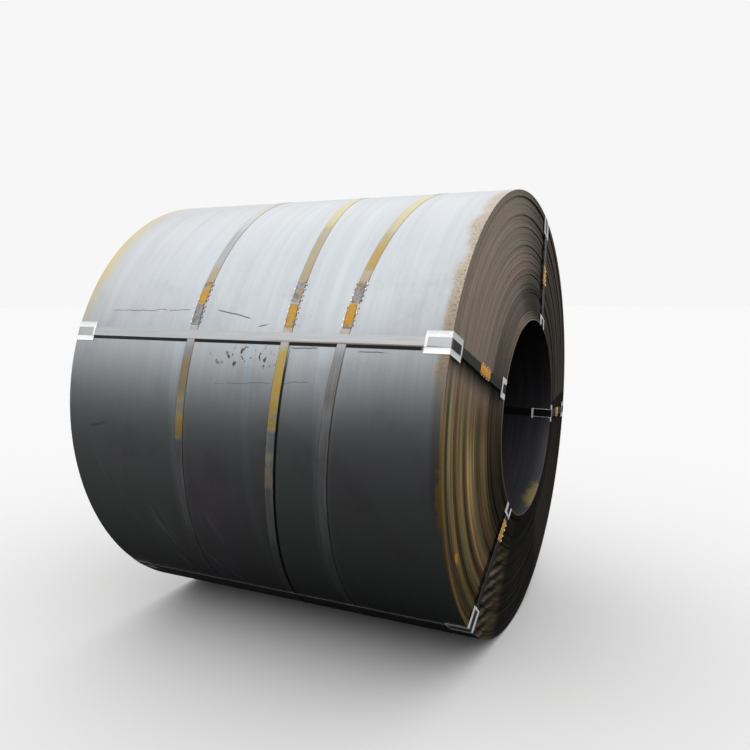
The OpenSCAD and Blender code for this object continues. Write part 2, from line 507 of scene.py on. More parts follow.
def strip_middle():
    """How far the middle of the outer turn's width stands behind the middle of the coil's box."""
    return bpy.context.scene.coil_sizes.telescope / 2


def ribbon_map(piece, path, width):
    """UV map in metres: along a ribbon of two edge points at each path point, and across it."""
    reach = [0.0]
    for here, there in zip(path, path[1:]):
        reach.append(reach[-1] + (there - here).length)
    uv = piece.data.uv_layers.new(name="ribbon")
    for loop in piece.data.loops:
        side = loop.vertex_index % 2
        uv.data[loop.index].uv = (reach[loop.vertex_index // 2], (side - 0.5) * width)


def ribbon(name, path, across, width, thickness, way):
    """Strap laid along a path, with a UV map that follows it."""
    half = across * width / 2
    piece = sheet(name, [path[0] - half, path[0] + half], path)
    ribbon_map(piece, path, width)
    thicken(piece, thickness, way, 0.15 * MM)
    return piece


# Crimps of a seal, as shares of its length from its middle
CRIMPS = (-0.36, -0.14, 0.14, 0.36)


def seal_section(strapping, top):
    """Section of a seal as (across, height): it wraps the lap and its lips turn in under it."""
    half = strapping.width / 2 + 0.1 * MM
    return [
        (-half + 1.2 * MM, 0), (-half, 0.2 * MM), (-half, top - 0.4 * MM),
        (-half + 0.5 * MM, top), (-half * 0.45, top + 0.15 * MM), (half * 0.45, top + 0.15 * MM),
        (half - 0.5 * MM, top), (half, top - 0.4 * MM), (half, 0.2 * MM), (half - 1.2 * MM, 0)]


def crimp(piece, middle, along, across, stations):
    """Pinches a seal's sides at each station along it."""
    reach = 4.5 * MM
    for vertex in piece.data.vertices:
        offset = vertex.co - middle
        place = offset.dot(along)
        side = offset.dot(across)
        for station in stations:
            near = abs(place - station) / reach
            if near < 1:
                bite = 0.5 + 0.5 * math.cos(math.pi * near)
                vertex.co -= across * side * 0.11 * bite * (abs(side) / (17 * MM)) ** 4


def ear(name, strapping, middle, along, across, up):
    """Tab that a crimp has torn from a seal's side and bent outwards."""
    half = strapping.width / 2 + 0.1 * MM
    points = [middle + across * (half + out * MM) + up * height * MM
              for out, height in ((-0.6, 0.9), (1.5, 0.9), (4.0, 1.7), (5.5, 2.8))]
    half_long = along * 3.2 * MM
    piece = sheet(name, [points[0] - half_long, points[0] + half_long], points)
    thicken(piece, strapping.seal_sheet * 0.8, up, 0.2 * MM)
    return piece


def bend_round(piece, middle, along, up, radius):
    """Bends a straight piece about its middle so that it follows a round surface."""
    for vertex in piece.data.vertices:
        offset = vertex.co - middle
        reach, height = offset.dot(along), offset.dot(up)
        turn = reach / radius
        vertex.co += along * ((radius + height) * math.sin(turn) - reach)
        vertex.co += up * ((radius + height) * math.cos(turn) - radius - height)


def seal(name, strapping, place_at, along, across, up):
    """Folded seal round a lap, crimped along both sides. place_at is the middle of its underside."""
    rows = 42
    length = strapping.seal_length
    section = [place_at + across * side + up * height - along * length / 2
               for side, height in seal_section(strapping, 2 * strapping.thickness)]
    steps = [along * length * row / rows for row in range(rows + 1)]
    piece = sheet(name, section, steps)
    crimp(piece, place_at, along, across, [length * share for share in CRIMPS])
    thicken(piece, strapping.seal_sheet, -across, 0.2 * MM)
    ears = [ear(f"{name}_ear", strapping, place_at + along * length * share, along, across * side, up)
            for share in CRIMPS for side in (-1, 1)]
    piece = join([piece] + ears)
    uv = piece.data.uv_layers.new(name="ribbon")
    for loop in piece.data.loops:
        offset = piece.data.vertices[loop.vertex_index].co - place_at
        uv.data[loop.index].uv = (offset.dot(along), offset.dot(across))
    return piece


class COIL_OT_bands(bpy.types.Operator):
    """Build the bands round the coil and their seals"""

    bl_idname = "coil.bands"
    bl_label = "Bands"

    def execute(self, context):
        coil = context.scene.coil_sizes
        strapping = context.scene.coil_strapping
        lap_at, lap_angle, seal_turn = band_lap(coil, strapping)
        steps = round(360 / BAND_STEP)
        for index, band in enumerate(BANDS, 1):
            path = []
            for step in range(steps + 1):
                angle = lap_at + lap_angle - step * (360 + 2 * lap_angle) / steps
                past = lap_at + lap_angle - angle
                climb = min(1, max(0, (past - 360 + CLIMB_BEFORE) / CLIMB_TURN))
                path.append(band_place(band, angle, coil.outer_radius + climb * strapping.thickness))
            up = (path[0] - Vector((path[0].x, 0, AXIS.z))).normalized()
            piece = ribbon(f"band_strip_{index}", path, ALONG, strapping.width, strapping.thickness, up)
            finish(piece, band_steel(index), "strapping_steel", f"band_{index}")
            for side, kind in ((-1, "upper"), (1, "lower")):
                clip_name = f"{kind}_band_clip_{index}"
                piece = self.seal_at(coil, strapping, band, lap_at + side * seal_turn, clip_name)
                finish(piece, seal_steel(index), "seal_steel", f"{kind}_band_seal_{index}")
        return {"FINISHED"}

    def seal_at(self, coil, strapping, band, angle, name):
        """Seal on a band's lap, lined up with the band there and bent round the coil with it."""
        middle = band_place(band, angle, coil.outer_radius)
        along = (band_place(band, angle + 0.1, coil.outer_radius) - middle).normalized()
        up = (middle - Vector((middle.x, 0, AXIS.z))).normalized()
        piece = seal(name, strapping, middle, along, ALONG, up)
        bend_round(piece, middle, along, up, coil.outer_radius)
        return piece


# Where each strap's seal is, as a share of the free way from the bore guard to the outer guard
EYE_SEAL_SHARES = (0.5, 0.43, 0.03, 0.45)


def eye_seal_r(coil, strapping, guard, share):
    """Distance from the axis of a strap's seal, on the front end between the guards."""
    half_lap = strapping.seal_length / 2 + strapping.lap_tail
    low = coil.bore_radius + guard.bore_end_leg + half_lap
    high = coil.outer_radius - guard.outer_end_leg - half_lap
    return low + (high - low) * share


def eye_path(coil, strapping, guard, seal_r):
    """Path of a strap through the bore, from the lower layer of its lap round to the upper one."""
    def front(r, lift=0):
        return front_line(coil, r) + guard.sheet + lift

    def back(r):
        return back_line(coil, r) - guard.sheet

    outer = coil.outer_radius + strapping.thickness
    inner = coil.bore_radius - guard.sheet
    half_lap = strapping.seal_length / 2 + strapping.lap_tail
    low, high = seal_r - half_lap, seal_r + half_lap
    lift = strapping.thickness
    corners = [
        (front(high), high), (front(inner), inner), (back(inner), inner), (back(outer), outer),
        (front(outer), outer), (front(high + 16 * MM), high + 16 * MM),
        (front(high + 2 * MM, lift), high + 2 * MM), (front(low, lift), low)]
    return filled(rounded(corners, 3 * MM), 30 * MM)


class COIL_OT_straps(bpy.types.Operator):
    """Build the straps through the bore and their seals"""

    bl_idname = "coil.straps"
    bl_label = "Straps"

    def execute(self, context):
        coil = context.scene.coil_sizes
        strapping = context.scene.coil_strapping
        guard = context.scene.coil_guards
        across = Vector((0, 0, 1))
        for index, (angle, share) in enumerate(zip(EYE_ANGLES, EYE_SEAL_SHARES), 1):
            seal_r = eye_seal_r(coil, strapping, guard, share)
            path = [bench(place.x, place.y) for place in eye_path(coil, strapping, guard, seal_r)]
            strap = ribbon(f"bore_strap_{index}", path, across, strapping.width, strapping.thickness, ALONG)
            finish(turn_to(strap, angle), strap_steel(), "strapping_steel", f"eye_strap_{index}")
            along = Vector((-lean(coil), 1, 0)).normalized()
            up = Vector((1, lean(coil), 0)).normalized()
            middle = bench(front_line(coil, seal_r) + guard.sheet, seal_r)
            clip = seal(f"bore_clip_{index}", strapping, middle, along, across, up)
            finish(turn_to(clip, angle), seal_steel(0), "seal_steel", f"eye_seal_{index}")
        return {"FINISHED"}


# Edge guards

def guard_piece(name, legs, up, strap_heights, sheet_t, width, finger, side):
    """Bent guard on the bench. legs are the corners (x, r) of its underside, up the ways its two
    legs face, and strap_heights how far its strap's top stands over each leg."""
    half = width / 2
    edge_lift = 0.55 * MM
    path = [bench(place.x, place.y) for place in filled(rounded(legs, 1.2 * MM, 4), 9 * MM)]
    across = [-half, -half + 2.5 * MM, -half * 0.5, 0, half * 0.5, half - 2.5 * MM, half]
    section = [path[0] + Vector((0, 0, place)) for place in across]
    plate = sheet(name, section, path)
    first_step = path[1] - path[0]
    first_length = (Vector(legs[1]) - Vector(legs[0])).length
    for vertex in plate.data.vertices:
        if abs(abs(vertex.co.z - AXIS.z) - half) < 1e-5:
            first_leg = (vertex.co - path[0]).dot(first_step) < first_length * first_step.length
            vertex.co += (up[0] if first_leg else up[1]) * edge_lift
    thicken(plate, sheet_t, up[0])
    parts = [plate]
    ends = ((path[0], (path[1] - path[0]).normalized(), up[0], strap_heights[0], side),
            (path[-1], (path[-2] - path[-1]).normalized(), up[1], strap_heights[1], -side))
    for count, (place, inwards, way, height, post_side) in enumerate(ends):
        parts.append(finger_piece(f"{name}_finger_{count}", place, inwards, way, height, post_side,
                                  sheet_t, finger))
    return join(parts)


def finger_piece(name, place, inwards, up, height, post_side, sheet_t, finger):
    """Tongue of a guard's sheet: it lies on the guard beside the strap and is folded over the strap."""
    out = Vector((0, 0, post_side))
    rise = height + 0.05 * MM
    heights = [(25, sheet_t), (19.5, sheet_t), (18.6, sheet_t + 0.15 * MM), (17.9, rise * 0.5),
               (17.2, rise - 0.15 * MM), (16.4, rise), (0, rise), (-16.5, rise), (-19, rise - 0.5 * MM)]
    points = [place + out * step * MM + up * lift for step, lift in heights]
    tongue = sheet(name, [points[0], points[0] + inwards * finger], points)
    thicken(tongue, sheet_t, up)
    return tongue


def edge_guard(name, sizes, at_bore, end):
    """Guard over an edge of the front end, where end is 1, or of the back end, where it is -1."""
    coil, strapping, guard = sizes
    line = front_line if end > 0 else back_line
    over = guard.sheet + strapping.thickness
    if at_bore:
        r, out = coil.bore_radius, -1
        end_r = r + guard.bore_end_leg
        heights = (over, over)
    else:
        r, out = coil.outer_radius, 1
        end_r = r - guard.outer_end_leg
        heights = (2 * strapping.thickness, over)
    edge = line(coil, r)
    legs = [(edge - end * guard.leg, r), (edge, r), (line(coil, end_r), end_r)]
    return guard_piece(name, legs, (Vector((0, out, 0)), ALONG * end), heights,
                       guard.sheet, guard.width, guard.finger, -end)


class COIL_OT_guards(bpy.types.Operator):
    """Build the bent sheet guards under the straps"""

    bl_idname = "coil.guards"
    bl_label = "Edge Guards"

    def execute(self, context):
        sizes = (context.scene.coil_sizes, context.scene.coil_strapping, context.scene.coil_guards)
        kinds = (
            ("outer_guard_front", "front_guard", False, 1),
            ("outer_guard_back", "back_guard", False, -1),
            ("bore_guard_front", "front_bore_guard", True, 1),
            ("bore_guard_back", "back_bore_guard", True, -1))
        zinc = galvanised_sheet()
        for name, cad_name, at_bore, end in kinds:
            first = edge_guard(f"{name}_1", sizes, at_bore, end)
            others = [copy_of(first, f"{name}_{index}") for index in range(2, len(EYE_ANGLES) + 1)]
            for index, (piece, angle) in enumerate(zip([first] + others, EYE_ANGLES), 1):
                finish(turn_to(piece, angle), zinc, "galvanised_sheet", f"{cad_name}_{index}")
        return {"FINISHED"}


# Nodes of the materials

def node(tree, kind, *inputs, **settings):
    """New shader node with its settings, and its inputs in order: a socket is linked, a value is set."""
    made = tree.nodes.new("ShaderNode" + kind)
    for key, value in settings.items():
        setattr(made, key, value)
    for socket, value in zip(made.inputs, inputs):
        put(tree, value, socket)
    return made


def put(tree, value, socket):
    """Links a socket or sets a value. None leaves the socket as it is."""
    if isinstance(value, bpy.types.NodeSocket):
        tree.links.new(value, socket)
    elif value is not None:
        socket.default_value = value


def calc(tree, operation, *inputs):
    """Output of a Math node."""
    return node(tree, "Math", *inputs, operation=operation).outputs[0]


def times(tree, first, second):
    """First value times the second."""
    return calc(tree, "MULTIPLY", first, second)


def plus(tree, first, second):
    """First value plus the second."""
    return calc(tree, "ADD", first, second)


def minus(tree, first, second):
    """First value less the second."""
    return calc(tree, "SUBTRACT", first, second)


def noise_at(tree, place, scale, detail, roughness=None):
    """Noise over a place, with the node's own roughness if none is given."""
    return node(tree, "TexNoise", place, None, scale, detail, roughness).outputs["Fac"]


def ramp(tree, value, low, high, to_low=0.0, to_high=1.0):
    """Smooth climb of a value from one limit to the other."""
    return node(tree, "MapRange", value, low, high, to_low, to_high,
                interpolation_type="SMOOTHSTEP").outputs[0]


def window(tree, value, low, high, soft):
    """1 between two limits and 0 outside them, with soft sides."""
    inside = ramp(tree, value, low - soft, low + soft)
    return times(tree, inside, ramp(tree, value, high - soft, high + soft, 1.0, 0.0))


def blend(tree, factor, first, second, kind="MIX"):
    """Mix of two colours."""
    made = tree.nodes.new("ShaderNodeMix")
    made.data_type = "RGBA"
    made.blend_type = kind
    put(tree, factor, made.inputs["Factor"])
    for socket, value in zip([s for s in made.inputs if s.type == "RGBA"], (first, second)):
        put(tree, rgba(value), socket)
    return next(s for s in made.outputs if s.type == "RGBA")


def stained(tree, shade, mask, strength, stain_colour):
    """Shade with a colour over it, as strong as its mask times its strength."""
    return blend(tree, times(tree, mask, strength), shade, stain_colour)


def toned(tree, shade, tone):
    """Shade multiplied by another colour."""
    return blend(tree, 1.0, shade, tone, "MULTIPLY")


def rgba(value):
    """Colour with an alpha, or the socket as it is."""
    if isinstance(value, bpy.types.NodeSocket):
        return value
    return (*value[:3], 1.0)


def group(name, inputs, outputs, build):
    """Shader node group, built once. inputs are (name, default) and outputs are names."""
    if name in bpy.data.node_groups:
        return bpy.data.node_groups[name]
    tree = bpy.data.node_groups.new(name, "ShaderNodeTree")
    for label, default in inputs:
        kind = "NodeSocketVector" if default is None else "NodeSocketFloat"
        socket = tree.interface.new_socket(label, in_out="INPUT", socket_type=kind)
        if default is not None:
            socket.default_value = default
    for label in outputs:
        tree.interface.new_socket(label, in_out="OUTPUT", socket_type="NodeSocketFloat")
    entry = tree.nodes.new("NodeGroupInput")
    results = build(tree, entry.outputs)
    out = tree.nodes.new("NodeGroupOutput")
    for label, socket in zip(outputs, results):
        tree.links.new(socket, out.inputs[label])
    return tree


def place_group(tree, shared, inputs):
    """Places a node group and fills its inputs."""
    made = tree.nodes.new("ShaderNodeGroup")
    made.node_tree = shared
    for socket, value in zip(made.inputs, inputs):
        put(tree, value, socket)
    return made.outputs


def coil_place():
    """Group: from a place, its x, its distance from the axis, and its rise in degrees: 0 at the
    coil's -Y side, 90 at its top and -90 at its bottom."""
    def build(tree, given):
        x, y, z = node(tree, "SeparateXYZ", given[0]).outputs
        up = minus(tree, z, AXIS.z)
        toward = times(tree, y, -1.0)
        r = calc(tree, "SQRT", plus(tree, times(tree, y, y), times(tree, up, up)))
        rise = calc(tree, "DEGREES", calc(tree, "ARCTAN2", up, toward))
        return x, r, rise
    return group("coil_place", [("Vector", None)], ["X", "Radius", "Rise"], build)


def round_streaks():
    """Group: streaks that run round the coil, from fine to broad."""
    def build(tree, given):
        place, scale, across = given[:3]
        x, y, z = node(tree, "SeparateXYZ", place).outputs
        stretched = node(tree, "CombineXYZ", times(tree, x, across), y, z).outputs[0]
        return (noise_at(tree, stretched, scale, 3.0, 0.55),)
    return group("round_streaks", [("Vector", None), ("Scale", 1.0), ("Across", 30.0)], ["Streak"], build)


def turn_rings():
    """Group: tone of each turn on an end or of broader groups of turns, which changes slowly round it."""
    def build(tree, given):
        place, radius, fine, slow = given[:4]
        _, y, z = node(tree, "SeparateXYZ", place).outputs
        stretched = node(tree, "CombineXYZ", times(tree, radius, fine),
                         times(tree, y, slow), times(tree, z, slow))
        return (noise_at(tree, stretched.outputs[0], 1.0, 2.0, 0.6),)
    return group("turn_rings", [("Vector", None), ("Radius", 0.0), ("Fine", 270.0), ("Slow", 1.5)],
                 ["Tone"], build)


def patch():
    """Group: soft patch of a given reach about a place given by x and rise, broken up by noise."""
    def build(tree, given):
        place, x, rise, at_x, at_rise, half_x, half_rise, ragged = given[:8]
        off_x = calc(tree, "DIVIDE", minus(tree, x, at_x), half_x)
        off_rise = calc(tree, "DIVIDE", minus(tree, rise, at_rise), half_rise)
        off = calc(tree, "SQRT", plus(tree, times(tree, off_x, off_x), times(tree, off_rise, off_rise)))
        noise = noise_at(tree, place, 45.0, 3.0, 0.6)
        rough = times(tree, minus(tree, noise, 0.5), ragged)
        return (ramp(tree, plus(tree, off, rough), 0.45, 1.1, 1.0, 0.0),)
    inputs = [("Vector", None), ("X", 0.0), ("Rise", 0.0), ("At X", 0.0), ("At Rise", 0.0),
              ("Half X", 0.1), ("Half Rise", 2.0), ("Ragged", 2.0)]
    return group("patch", inputs, ["Mask"], build)


def scratch():
    """Group: thin wandering line along the coil at a rise, between two places along it."""
    def build(tree, given):
        place, x, rise, at_rise, low, high, half, slope = given[:8]
        wander = noise_at(tree, node(tree, "CombineXYZ", x, at_rise, 0.0).outputs[0], 14.0, 4.0, 0.6)
        run = times(tree, minus(tree, x, low), slope)
        line = plus(tree, plus(tree, at_rise, run), times(tree, wander, 1.4))
        off = calc(tree, "ABSOLUTE", minus(tree, rise, line))
        thin = ramp(tree, calc(tree, "DIVIDE", off, half), 0.5, 1.3, 1.0, 0.0)
        ends = times(tree, ramp(tree, minus(tree, x, low), 0.0, 0.02),
                     ramp(tree, minus(tree, high, x), 0.0, 0.02))
        breaks = ramp(tree, noise_at(tree, place, 25.0, 2.0), 0.3, 0.45)
        return (times(tree, times(tree, thin, ends), breaks),)
    inputs = [("Vector", None), ("X", 0.0), ("Rise", 0.0), ("At Rise", 0.0), ("From", 0.0), ("To", 0.1),
              ("Half Width", 0.12), ("Slope", 0.0)]
    return group("scratch", inputs, ["Mask"], build)


def new_material(name):
    """New material, its node tree, its Principled shader and the object's coordinates."""
    material = bpy.data.materials.new(name)
    material.use_nodes = True
    tree = material.node_tree
    shader = next(n for n in tree.nodes if n.type == "BSDF_PRINCIPLED")
    return material, tree, shader, tree.nodes.new("ShaderNodeTexCoord").outputs["Object"]


def set_shader(tree, shader, shade, roughness, metallic=None):
    """Gives the shader its colour, its roughness and, where it has any, its metallic."""
    for name, value in (("Base Color", shade), ("Roughness", roughness), ("Metallic", metallic)):
        put(tree, value, shader.inputs[name])


def relief(tree, shader, height, depth, strength=1.0):
    """Bump that feeds the shader's normal."""
    bump = tree.nodes.new("ShaderNodeBump")
    bump.inputs["Strength"].default_value = strength
    bump.inputs["Distance"].default_value = depth
    tree.links.new(height, bump.inputs["Height"])
    tree.links.new(bump.outputs["Normal"], shader.inputs["Normal"])


# Finishes

# Pale stripes round the coil: middle and half width in mm
STRIPES = ((50, 16), (-257, 15), (327, 18))
# Scratches: rise in degrees, start and end along the coil in mm, half width in degrees, and slope in
# degrees for each metre
DARK_MARKS = (
    (28.6, -610, -235, 0.10, 1.0), (29.1, -132, 28, 0.17, -13.0), (24.9, 52, 104, 0.16, 14.0),
    (25.6, 208, 226, 0.2, 0.0), (27.6, 244, 262, 0.25, 60.0), (20.2, 196, 318, 0.15, 3.0),
    (20.8, 316, 332, 0.3, 40.0), (20.1, 440, 566, 0.12, 1.0))
BROWN_MARKS = ((11.6, -88, 296, 0.13, 4.0), (-0.6, -650, -565, 0.35, 12.0))


def mill_scale():
    """Blue-grey scale of the outer turn, streaked round the coil, with rust at its edges."""
    colours = bpy.context.scene.coil_colours
    material, tree, shader, place = new_material("mill_scale")
    box_x, _, rise = place_group(tree, coil_place(), (place,))
    x = plus(tree, box_x, strip_middle())
    streak = place_group(tree, round_streaks(), (place, 1.3, 22.0))[0]
    fine = place_group(tree, round_streaks(), (place, 2.4, 90.0))[0]
    base = Vector(colours.scale)
    tone = plus(tree, times(tree, streak, 0.6), times(tree, fine, 0.4))
    shade = blend(tree, ramp(tree, tone, 0.3, 0.7), base * 0.95, base * 1.05)
    smudge = noise_at(tree, place, 5.0, 5.0, 0.65)
    smudge = times(tree, ramp(tree, smudge, 0.48, 0.7), window(tree, rise, -20.0, 44.0, 12.0))
    shade = stained(tree, shade, smudge, 0.22, base * 0.45)
    shade = blend(tree, scuffs(tree, x, rise), shade, base * 2.2)
    hue = noise_at(tree, place, 1.7, 2.0, 0.5)
    hue = blend(tree, ramp(tree, hue, 0.38, 0.62), (1.10, 0.95, 1.04), (1.0, 1.0, 0.95))
    shade = blend(tree, ramp(tree, rise, -16.0, 6.0, 1.0, 0.0), shade, toned(tree, shade, hue))
    # Painted shade: the outer turn darkens towards its bottom.
    shade = toned(tree, shade, grey(tree, underside_shade(tree, place, x)))
    for middle, half in STRIPES:
        stripe = window(tree, x, (middle - half) * MM, (middle + half) * MM, 5 * MM)
        stripe = times(tree, stripe, window(tree, rise, -35.0, 74.0, 14.0))
        pale = toned(tree, shade, (1.08, 1.17, 1.23))
        shade = blend(tree, times(tree, stripe, ramp(tree, rise, 19.0, 26.0, 0.7, 0.2)), shade, pale)
    for marks, colour_of_mark, strength in ((DARK_MARKS, (0.05, 0.045, 0.045), 0.85),
                                            (BROWN_MARKS, (0.16, 0.10, 0.06), 0.5)):
        for rise_at, low, high, half, slope in marks:
            where = (place, x, rise, rise_at, low * MM, high * MM, half, slope)
            mark = place_group(tree, scratch(), where)[0]
            shade = blend(tree, times(tree, mark, strength), shade, colour_of_mark)
    spots = noise_at(tree, node(tree, "Mapping", place, None, None, (1.0, 1.0, 0.6)).outputs[0], 62.0, 1.0)
    spotted = place_group(tree, patch(), (place, x, rise, 35 * MM, 18.6, 0.16, 2.8, 1.5))[0]
    spots = times(tree, ramp(tree, spots, 0.59, 0.63), spotted)
    shade = stained(tree, shade, spots, 0.9, (0.03, 0.028, 0.028))
    for band, amount, wide, hazy in zip(BANDS, (0.4, 0.95, 0.6), (20, 26, 21), (0.35, 0.0, 0.6)):
        turn = calc(tree, "RADIANS", minus(tree, 180 - band["most_at"], rise))
        band_x = plus(tree, band["x"], times(tree, band["stray"], calc(tree, "COSINE", turn)))
        off = minus(tree, x, band_x)
        if hazy:
            haze = times(tree, window(tree, off, -30 * MM, 24 * MM, 14 * MM),
                         window(tree, rise, -42.0, 8.0, 12.0))
            haze = times(tree, haze, ramp(tree, fine, 0.35, 0.65, 0.4, 1.0))
            hazed = toned(tree, shade, (1.75, 1.8, 1.85))
            shade = blend(tree, times(tree, haze, hazy), shade, hazed)
        # Painted shadow: a near-black line beside each band's right edge, and a fainter dark line along
        # both its edges, where the band stands off the scale.
        edge = times(tree, window(tree, off, 15 * MM, wide * MM, 2 * MM),
                     window(tree, rise, -62.0, 20.0, 5.0))
        shade = blend(tree, times(tree, edge, amount), shade, (0.006, 0.006, 0.007))
        edge = window(tree, calc(tree, "ABSOLUTE", off), 15 * MM, 18.5 * MM, 1.5 * MM)
        shade = stained(tree, shade, edge, 0.45, (0.05, 0.045, 0.04))
    # Painted shadow: a near-black line on the outer turn just below the strap that runs over it.
    strap_shadow = window(tree, rise, 21.66, 22.43, 0.1)
    strap_shadow = times(tree, strap_shadow, window(tree, x, -0.68, 0.66, 6 * MM))
    shade = blend(tree, strap_shadow, shade, (0.004, 0.004, 0.005))
    shade = rusty_rims(tree, shade, place, x, rise)
    set_shader(tree, shader, shade, ramp(tree, tone, 0.3, 0.7, 0.41, 0.35), 0.75)
    relief(tree, shader, tone, 0.4 * MM, 0.5)
    return material


# Scuffs: limits along the coil in mm, limits of rise in degrees, and strength
SCUFFS = ((-455, -355, -46, -20, 0.6), (-255, -140, -52, -22, 0.6), (-670, -470, -26, -3, 0.16))


def scuffs(tree, x, rise):
    """Mask of fine light scuffs that run slantwise round the lower near side in a few groups."""
    slant = plus(tree, x, times(tree, rise, 0.004))
    across = node(tree, "CombineXYZ", times(tree, slant, 95.0), times(tree, rise, 0.06), 0.0)
    lines = ramp(tree, noise_at(tree, across.outputs[0], 1.0, 2.0, 0.5), 0.52, 0.68)
    mask = None
    for low, high, low_rise, high_rise, amount in SCUFFS:
        where = times(tree, window(tree, x, low * MM, high * MM, 40 * MM),
                      window(tree, rise, low_rise, high_rise, 7.0))
        where = times(tree, where, amount)
        mask = where if mask is None else calc(tree, "MAXIMUM", mask, where)
    return times(tree, mask, lines)


def underside_shade(tree, place, x):
    """Painted shade that darkens the outer turn's lower half, as light from above would, and reaches higher
    towards the front end.
    """
    lift = minus(tree, node(tree, "SeparateXYZ", place).outputs[2], AXIS.z)
    lift = minus(tree, lift, ramp(tree, x, 0.1, 0.75, 0.0, 0.17))
    clean = ramp(tree, lift, -0.09, 0.392)
    darkest = ramp(tree, x, -0.7, 0.65, 0.68, 0.47)
    return node(tree, "Mix", clean, None, darkest, 1.0).outputs[0]


def rusty_rims(tree, shade, place, x, rise):
    """Pale orange rust along both rims of the outer turn, heaviest on the upper near side."""
    colours = bpy.context.scene.coil_colours
    speck = noise_at(tree, place, 190.0, 2.0, 0.6)
    cloud = noise_at(tree, place, 9.0, 3.0, 0.6)
    ragged = times(tree, minus(tree, cloud, 0.5), 0.08)
    front = ramp(tree, plus(tree, x, ragged), 0.672, 0.748)
    front = times(tree, front, window(tree, rise, 14.0, 84.0, 12.0))
    back = ramp(tree, minus(tree, x, ragged), -0.748, -0.668, 1.0, 0.0)
    back = times(tree, back, window(tree, rise, 28.0, 88.0, 9.0))
    low_rim = times(tree, ramp(tree, x, 0.738, 0.747), window(tree, rise, -48.0, 12.0, 6.0))
    shade = blend(tree, times(tree, ramp(tree, front, 0.2, 0.9), 0.7), shade, (0.33, 0.25, 0.145))
    soiled = times(tree, ramp(tree, x, 0.702, 0.725), window(tree, rise, -12.0, 32.0, 10.0))
    shade = stained(tree, shade, soiled, 0.5, (0.10, 0.072, 0.05))
    shade = stained(tree, shade, back, 0.8, (0.46, 0.37, 0.15))
    shade = stained(tree, shade, low_rim, 0.6, colours.orange_rust)
    crust = place_group(tree, patch(), (place, x, rise, 0.742, -9.0, 0.02, 7.0, 2.0))[0]
    shade = stained(tree, shade, crust, 0.45, colours.orange_rust)
    denser = plus(tree, speck, times(tree, front, 0.14))
    specked = times(tree, ramp(tree, denser, 0.66, 0.72), times(tree, front, 0.75))
    return blend(tree, specked, shade, (0.12, 0.085, 0.06))


# Rings on an end: limits of radius in metres, level of tone, and limits of rise in degrees
RING_TONES = (
    (0.50, 0.60, 0.55, 0, 14), (0.52, 0.585, 1.3, -40, -18), (0.606, 0.655, 2.4, -60, 0),
    (0.606, 0.655, 1.1, 4, 16), (0.69, 0.735, 1.4, -55, 0), (0.745, 0.772, 0.6, -50, 16),
    (0.778, 0.812, 1.4, -30, 14), (0.815, 0.83, 0.55, -50, 14), (0.832, 0.858, 1.25, -60, -25))
# Pale lines near the bore: limits of radius in metres, and limits of rise in degrees
RIM_LINES = (
    (0.382, 0.387, 55, 100), (0.393, 0.396, 62, 98), (0.402, 0.405, 64, 96), (0.412, 0.415, 66, 94),
    (0.383, 0.386, -140, -62), (0.394, 0.397, -135, -75), (0.408, 0.410, -120, -80))
# Painted shadow beside a strap on an end: the strap's angle, the side it lies on, and its reach in mm
STRAP_SHADES = ((66, 1, 30), (156.5, 1, 78), (230, -1, 22), (354, 1, 14))


def strap_shade():
    """Group: painted shadow on an end along one side of a strap at an angle, fading over a reach."""
    def build(tree, given):
        place, angle, side, reach = given[:4]
        _, y, z = node(tree, "SeparateXYZ", place).outputs
        up = minus(tree, z, AXIS.z)
        cosine, sine = calc(tree, "COSINE", angle), calc(tree, "SINE", angle)
        along = plus(tree, times(tree, y, cosine), times(tree, up, sine))
        off = minus(tree, times(tree, up, cosine), times(tree, y, sine))
        off = times(tree, off, side)
        past = calc(tree, "DIVIDE", minus(tree, off, 15 * MM), reach)
        fade = times(tree, ramp(tree, past, 0.0, 1.0, 0.9, 0.0), ramp(tree, off, 8 * MM, 12 * MM))
        return (times(tree, fade, ramp(tree, along, 0.4, 0.42)),)
    inputs = [("Vector", None), ("Angle", 0.0), ("Side", 1.0), ("Reach", 0.02)]
    return group("strap_shade", inputs, ["Mask"], build)


def ripple_shading_and_dirt(tree, place, radius):
    """Level of an end's colour over the ripples: painted highlights on their crests and painted shade,
    partly dirt, in the troughs between.
    """
    _, y, z = node(tree, "SeparateXYZ", place).outputs
    up = minus(tree, z, AXIS.z)
    turn = math.radians(EYE_ANGLES[2])
    beside = minus(tree, times(tree, up, math.cos(turn)), times(tree, y, math.sin(turn)))
    bowed = plus(tree, up, times(tree, times(tree, beside, beside), RIPPLE_BOW))
    wave = calc(tree, "COSINE", times(tree, bowed, math.tau / RIPPLE_WAVE))
    level = ramp(tree, wave, -0.9, 0.9, 0.3, 1.5)
    where = times(tree, window(tree, beside, 0.03, RIPPLE_REACH * 0.75, 0.03),
                  ramp(tree, radius, 0.54, 0.6))
    where = times(tree, where, ramp(tree, up, -0.2, -0.3))
    return node(tree, "Mix", where, None, 1.0, level).outputs[0], where


